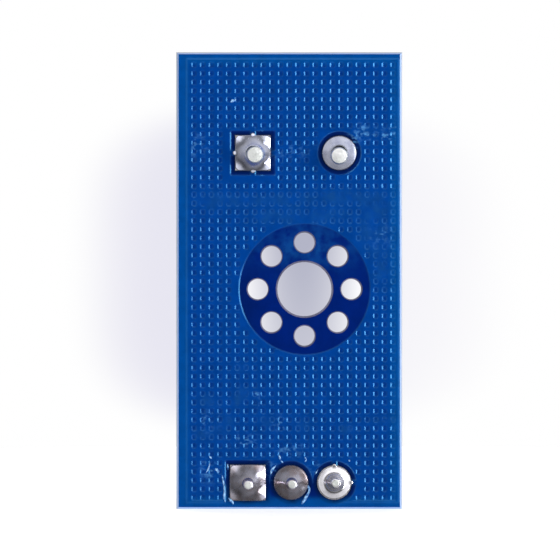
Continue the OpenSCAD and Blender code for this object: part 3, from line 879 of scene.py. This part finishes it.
def add_joints():
    add_joint("left_terminal", POLES[0], LEAD_LEAN[0], LEAD_R, spread=0.0, climb=0.52, foot=0.04,
              skirt=0.66, curve=2.0, lumps=0.002, material=SOLDER, square=True, ways=(LEFT, UP, DOWN))
    add_joint("right_terminal", POLES[1], LEAD_LEAN[1], LEAD_R, spread=0.0, climb=0.17, foot=0.06,
              skirt=0.27, curve=2.0, lumps=0.003, material=DULL)
    add_joint("left_header", PINS[0], PIN_LEAN[0], HEADER_BAR, spread=0.03, climb=0.62, foot=0.1,
              skirt=0.56, curve=2.0, lumps=0.006, material=STAINED, square=True, cap_r=0.27)
    add_joint("middle_header", PINS[1], PIN_LEAN[1], HEADER_BAR, spread=0.0, climb=0.62, foot=0.1,
              skirt=0.62, curve=2.0, lumps=0.015, material=STAINED, cap_r=0.28)
    add_joint("right_header", PINS[2], PIN_LEAN[2], HEADER_BAR, spread=-0.05, climb=0.75, foot=0.08,
              skirt=0.18, curve=6.0, lumps=0.004, material=BRIGHT, cap_r=0.26, ways=(RIGHT, UP))
    for node, center, lean, r in zip(PIN_NODES, PINS, PIN_LEAN, (0.26, 0.27, 0.24)):
        add_end(node + "_end", center + lean, -CAP_H, r)


def add_end(name, center, y, radius, rings=5):
    """The bright, slightly domed end of a pin. Its rim starts a little inside the solder."""
    loops = []
    for k in range(rings + 1):
        t = k / rings
        r = radius * (1 - t) + 0.02 * t
        out = 0.012 * math.sqrt(1 - (1 - t) ** 2) if k else -0.03
        loops.append(circle(center, r, y - out, 32))
    points, faces = stack(loops, close_last=True)
    to_mesh(name, points, flipped(faces), CUT_TIN)


# ---- screw terminal ----

SCREW_LOW, SCREW_HIGH = box_mm("left_clamp_screw")
HEAD_H = 1.2  # height of the screw's head
THREAD_PITCH = 0.5
CORE_R = 1.24  # the shank's radius under its thread
THREAD_R = 1.46
SHANK_R = (1.2, 1.6)  # the points of the CAD shank's side lie between these radii
LEAD_END_R = 0.44  # radius of a lead's cut end


def add_terminal():
    soften("terminal_housing", "housing", BLUE, 0.12, segments=3)
    for side, pole, lean in zip(("left", "right"), POLES, LEAD_LEAN):
        def lean_lead(p):
            """Moves the lead's end sideways and narrows it."""
            if p[1] > 0:
                return p
            away = p[[0, 2]] - pole
            r = max(np.hypot(*away), 1e-6)
            away = away * LEAD_END_R / r if p[1] < 0.01 - LEAD_OUT else away
            return np.array((pole[0] + away[0] + lean[0], p[1], pole[1] + away[1] + lean[1]))

        def thin_shank(p):
            """Makes room for the thread."""
            away = p[[0, 2]] - pole
            r = np.hypot(*away)
            if SHANK_R[0] < r < SHANK_R[1] and p[1] < SCREW_HIGH[1] - HEAD_H + 0.01:
                away = away * CORE_R / r
            return np.array((pole[0] + away[0], p[1], pole[1] + away[1]))

        soften(f"{side}_contact_cage", f"{side}_contact", CUT_TIN, 0.07, shape=lean_lead)
        soften(f"{side}_wire_guard", f"{side}_guard_plate", GUARD, 0.05, f"{side}_guard")
        soften(f"{side}_clamp_screw", f"{side}_screw_blank", ZINC, 0.06, f"{side}_screw",
               shape=thin_shank)
        add_thread(f"{side}_screw_thread", pole, f"{side}_screw")


def add_thread(name, pole, body):
    """The ridge of an M3 thread, wound on the shank."""
    low, high = SCREW_LOW[1] + 0.75, SCREW_HIGH[1] - HEAD_H - 0.05
    turns, per_turn = (high - low) / THREAD_PITCH, 40
    half = THREAD_PITCH * 0.42
    rings = []
    for k in range(int(turns * per_turn) + 1):
        a = -2 * math.pi * k / per_turn
        y = low + THREAD_PITCH * k / per_turn
        fade = min(1, k / 12, (turns * per_turn - k) / 12)  # the ridge runs out at both ends
        crest = CORE_R + (THREAD_R - CORE_R) * fade
        section = [(CORE_R - 0.03, -half), (crest, -0.04), (crest, 0.04), (CORE_R - 0.03, half)]
        rings.append([(pole[0] + r * math.cos(a), y + v, pole[1] + r * math.sin(a)) for r, v in section])
    points, faces = stack(rings, close_first=True, close_last=True)
    to_mesh(name, points, faces, ZINC, body, smooth=False)


# ---- header, resistors and the layers that stay as the CAD has them ----


def rounded_square(half, corner, center, y, per_corner=4):
    """A ring of points round a square with round corners, at height y."""
    ring = []
    for k in range(4):
        middle_turn = math.pi / 2 * k + math.pi / 4
        cx, cz = (math.copysign(half - corner, f(middle_turn)) for f in (math.cos, math.sin))
        for i in range(per_corner):
            a = math.pi / 2 * (k + i / (per_corner - 1))
            x, z = cx + corner * math.cos(a), cz + corner * math.sin(a)
            ring.append((center[0] + x, y, center[1] + z))
    return ring


def add_post(node, center, lean):
    """A gilt pin: its solder-side end is thin and leans, and hides in the joint."""
    top = box_mm(node)[1][1]
    # (height, half width)
    stations = [(0.04 - CAP_H, 0.15), (0.15 - CAP_H, 0.19), (-0.9, 0.2), (-0.5, 0.27), (-0.1, PIN_HALF),
                (top - 0.32, PIN_HALF), (top - 0.29, PIN_HALF - 0.01), (top - 0.04, 0.21), (top, 0.17)]
    rings = []
    for y, half in stations:
        share = max(0, -y / CAP_H)
        at = (center[0] + lean[0] * share, center[1] + lean[1] * share)
        rings.append(rounded_square(half, min(0.05, half * 0.3), at, y))
    points, faces = stack(rings, close_first=True, close_last=True)
    piece = to_mesh(node + "_post", points, flipped(faces), GOLD)
    even_shading(piece, keep_sharp=False)
    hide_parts(node)


def add_header():
    soften("header_strip", "header_base", BLACK, 0.07)
    for node, center, lean in zip(PIN_NODES, PINS, PIN_LEAN):
        add_post(node, center, lean)


def add_resistors():
    for name in ("upper", "lower"):
        soften(f"{name}_resistor_ceramic", f"{name}_chip", ALUMINA, 0.02)
        soften(f"{name}_resistor_coat", f"{name}_chip_coat", GLASS_COAT, 0.025)
        soften(f"{name}_resistor_caps", f"{name}_chip_caps", TIN, 0.02)
    soften("resistor_solder", "chip_fillets", SOLDER, 0.05, segments=3)


def dress_layers():
    dress("laminate", LAMINATE)
    dress("legend", INK)
    for node in ("terminal_pads", "header_pads", "resistor_pads"):
        dress(node, TIN)


# ---- flux left on the solder side ----

# (points, half width, height)
STRANDS = [
    ([(-4.85, -10.9), (-4.75, -11.4), (-4.7, -11.9), (-4.72, -12.2), (-4.66, -12.5)], 0.06, 0.05),
    ([(-4.48, -12.25), (-4.3, -12.4), (-4.17, -12.62)], 0.09, 0.06),
    ([(-4.52, -10.25), (-4.5, -10.6)], 0.04, 0.04),
    ([(-5.8, -10.8), (-5.65, -10.55), (-5.55, -10.2)], 0.04, 0.04),
    ([(-5.6, -9.8), (-5.45, -9.95)], 0.04, 0.03),
    ([(-5.25, -10.5), (-5.02, -10.74)], 0.08, 0.05),
    ([(-1.5, -9.7), (-1.42, -10.0), (-1.26, -10.2)], 0.05, 0.05),
    ([(-1.65, -10.3), (-1.9, -10.6), (-2.0, -10.9)], 0.06, 0.04),
    ([(0.2, -11.5), (0.27, -11.85), (0.08, -12.2), (-0.17, -12.62)], 0.09, 0.08),
    ([(0.0, -9.85), (0.1, -10.0), (0.0, -10.15)], 0.04, 0.03),
    ([(0.6, -10.9), (0.78, -10.6)], 0.03, 0.03),
    ([(2.6, -10.0), (2.65, -10.12)], 0.05, 0.03),
]
SCRATCH = ([(-4.36, 10.97), (-4.2, 11.06), (-4.03, 11.14)], 0.085, 0.03)


def smooth_path(points, steps=8):
    """A Catmull-Rom curve through the points."""
    p = [np.array(q, float) for q in points]
    p = [2 * p[0] - p[1]] + p + [2 * p[-1] - p[-2]]
    out = []
    for a, b, c, d in zip(p, p[1:], p[2:], p[3:]):
        for t in np.arange(steps) / steps:
            out.append(0.5 * (2 * b + (c - a) * t + (2 * a - 5 * b + 4 * c - d) * t**2
                              + (3 * b - a - 3 * c + d) * t**3))
    return out + [p[-2]]


def add_strand(name, points, half, height):
    """A drawn-out drop that lies on the mask."""
    path = smooth_path(points)
    rings = []
    for k, p in enumerate(path):
        along = path[min(k + 1, len(path) - 1)] - path[max(k - 1, 0)]
        across = np.array((-along[1], along[0])) / np.hypot(*along)
        t = k / (len(path) - 1)
        swell = max(0.15, math.sin(math.pi * t) ** 0.5) * (1 + 0.3 * math.sin(9 * t + 5 * p[0]))
        ring = []
        for i in range(9):
            a = math.pi * i / 8
            q = p + across * half * swell * math.cos(a)
            ring.append((q[0], -SKIN_T + 0.01 - height * swell * math.sin(a), q[1]))
        rings.append(ring)
    points, faces = stack(rings, close_first=True, close_last=True)
    to_mesh(name, points, faces, FLUX)


def add_strands():
    for k, strand in enumerate(STRANDS):
        add_strand(f"flux_strand_{k + 1}", *strand)
    add_strand("board_scratch", *SCRATCH)


# ---- stage ----

FLOOR_R = 70.0
SHADOW_CARD_Y = 350.0  # how far behind the board the glowing card of painted shadow stands
SHADOW_CARD_R = 3.6  # radius that the card seems to have at the board, enough to fill the holes

# The studio round the board: (place, brightness), where place runs from 0 straight behind the
# board, over 0.5 at its sides, to 1 straight before it. A soft ring of light surrounds the camera.
STUDIO = [(0.0, 0.75), (0.45, 0.6), (0.62, 0.4), (0.75, 0.15)]
STUDIO += [(0.86, 0.25), (0.91, 1.3), (0.97, 1.5), (0.992, 0.06)]
# a bright tube bent round the camera's axis, about 48 degrees off it, on the right
TUBE = [(0.775, 0), (0.79, 1), (0.875, 1), (0.89, 0)]
TUBE_WAY = (0.998, 0, 0.06)
TUBE_POWER = 11.0
# (middle, half size, colour) of the shades on the paper behind the board. Places and sizes are
# slopes of the view away from straight behind the board.
SHADES = [
    ((0.008, 0.004), (0.075, 0.058), (0.92, 0.91, 0.95)),
    ((-0.015, 0.004), (0.0574, 0.058), (0.8, 0.79, 0.88)),
]


def add_floor():
    """A round sheet of white paper under the board."""
    glow = {"Emission_Color": (1, 1, 1, 1), "Emission_Strength": 0.55}
    paper = Shader("paper", (0.93, 0.93, 0.94), 0.8, specular=0.1, **glow)
    turns = [2 * math.pi * k / 96 for k in range(96)]
    rings = [
        [(r * math.cos(a), r * math.sin(a), BOARD_LOW[2]) for a in turns] for r in (20, 45, FLOOR_R)
    ]
    points, faces = stack(rings, close_first=True)
    add_stage("floor", points, flipped(faces), paper).visible_glossy = False


def add_shadow_card():
    """Painted shadow of the board: a small card far behind that glows grey, paler to its sides, and
    fills the view through the holes.
    """
    painted_shadow = Shader("shadow_card", (0, 0, 0), 1.0, specular=0.0, Emission_Strength=1.0)
    coords = painted_shadow.node("ShaderNodeTexCoord").outputs["Object"]
    way = painted_shadow.node("ShaderNodeSeparateXYZ", Vector=coords).outputs
    light = painted_shadow.math("MULTIPLY", painted_shadow.math("MULTIPLY", way["X"], way["X"]), 1.2)
    light = painted_shadow.math("MULTIPLY_ADD", way["X"], 0.1, light)
    light = painted_shadow.ramp(painted_shadow.math("MULTIPLY_ADD", way["Z"], -0.15, light), -0.1, 1)
    painted_shadow.link("Emission Color", painted_shadow.mix(light, (0.45, 0.46, 0.57), (0.95, 0.95, 0.98)))
    camera = bpy.context.scene.camera.location / MM
    share = (SHADOW_CARD_Y - camera[1]) / -camera[1]
    shadow_card = add_stage("shadow_card", circle((0, 0), 1 / MM, 0, 64), [tuple(range(64))], painted_shadow)
    shadow_card.location = Vector((camera[0] * (1 - share), SHADOW_CARD_Y, camera[2] * (1 - share))) * MM
    shadow_card.scale = [SHADOW_CARD_R * share * MM] * 3
    shadow_card.visible_diffuse = shadow_card.visible_glossy = shadow_card.visible_shadow = False


def add_stage(name, points, faces, shader):
    thing = add_object(name, new_mesh(name, points, faces, shader.material))
    return thing


def add_light(name, place, size, radiance):
    """An area light at place (mm), facing the mounting hole. radiance 1 looks like white paper."""
    data = bpy.data.lights.new(name, "AREA")
    data.shape = "RECTANGLE"
    data.size, data.size_y = size[0] * MM, size[1] * MM
    data.energy = radiance * math.pi * data.size * data.size_y
    lamp = add_object(name, data)
    lamp.location = Vector(place) * MM
    lamp.rotation_euler = (-lamp.location).to_track_quat("-Z", "Y").to_euler()


def backdrop(n, axes):
    """White paper far behind the board, with a faint soft shade round it, darker on its left."""
    ahead = n.math("MAXIMUM", axes["Y"], 0.001)
    across, up = n.math("DIVIDE", axes["X"], ahead), n.math("DIVIDE", axes["Z"], ahead)
    color = (1, 1, 1)
    for center, size, shade in SHADES:
        parts = []
        for value, at, half, power in zip((across, up), center, size, (2, 4)):
            off = n.math("ABSOLUTE", n.math("DIVIDE", n.math("SUBTRACT", value, at), half))
            parts.append(n.math("POWER", off, power))
        near = n.ramp(n.math("ADD", *parts), 0, 1, 1, 0, curve="SMOOTHERSTEP")
        color = n.mix(near, color, shade)
    return color


def add_world():
    """Soft light from all round and the tube, and white paper where the camera looks."""
    world = bpy.data.worlds.new("studio")
    world.use_nodes = True
    n = Nodes(world.node_tree)
    way = n.node("ShaderNodeTexCoord").outputs["Generated"]
    axes = n.node("ShaderNodeSeparateXYZ", Vector=way).outputs
    forward = n.ramp(axes["Y"], 1, -1)
    soft = n.math("MULTIPLY", n.stops(forward, STUDIO), n.ramp(axes["Z"], -0.45, 0.45, 0.5, 1.2))
    soft = n.math("MULTIPLY", soft, n.ramp(axes["X"], -0.45, 0.45, 0.75, 1.15))
    along = n.tree.nodes.new("ShaderNodeVectorMath")
    along.operation = "DOT_PRODUCT"
    n.plug(along.inputs[0], way)
    n.plug(along.inputs[1], TUBE_WAY)
    right_part = n.ramp(along.outputs["Value"], 0.6, 0.66, 0, TUBE_POWER)
    tube = n.math("MULTIPLY", n.stops(forward, TUBE), right_part)
    power = n.math("ADD", soft, tube)
    studio = n.node("ShaderNodeBackground", Color=(0.96, 0.96, 1.0, 1), Strength=power)
    white = n.node("ShaderNodeBackground", Color=backdrop(n, axes), Strength=1.0)
    choice = n.tree.nodes.new("ShaderNodeMixShader")
    seen = n.node("ShaderNodeLightPath").outputs["Is Camera Ray"]
    for socket, value in zip(choice.inputs, (seen, studio.outputs[0], white.outputs[0])):
        n.plug(socket, value)
    n.plug(n.tree.nodes["World Output"].inputs["Surface"], choice.outputs[0])
    bpy.context.scene.world = world


def add_lights():
    add_world()
    add_light("back_fill", (-300, 420, 320), (300, 300), 2.5)
    bpy.context.scene.view_settings.view_transform = "Standard"


# ---- the whole ----

add_camera()
dress_layers()
add_sides()
add_joints()
add_terminal()
add_header()
add_resistors()
add_strands()
add_floor()
add_shadow_card()
add_lights()
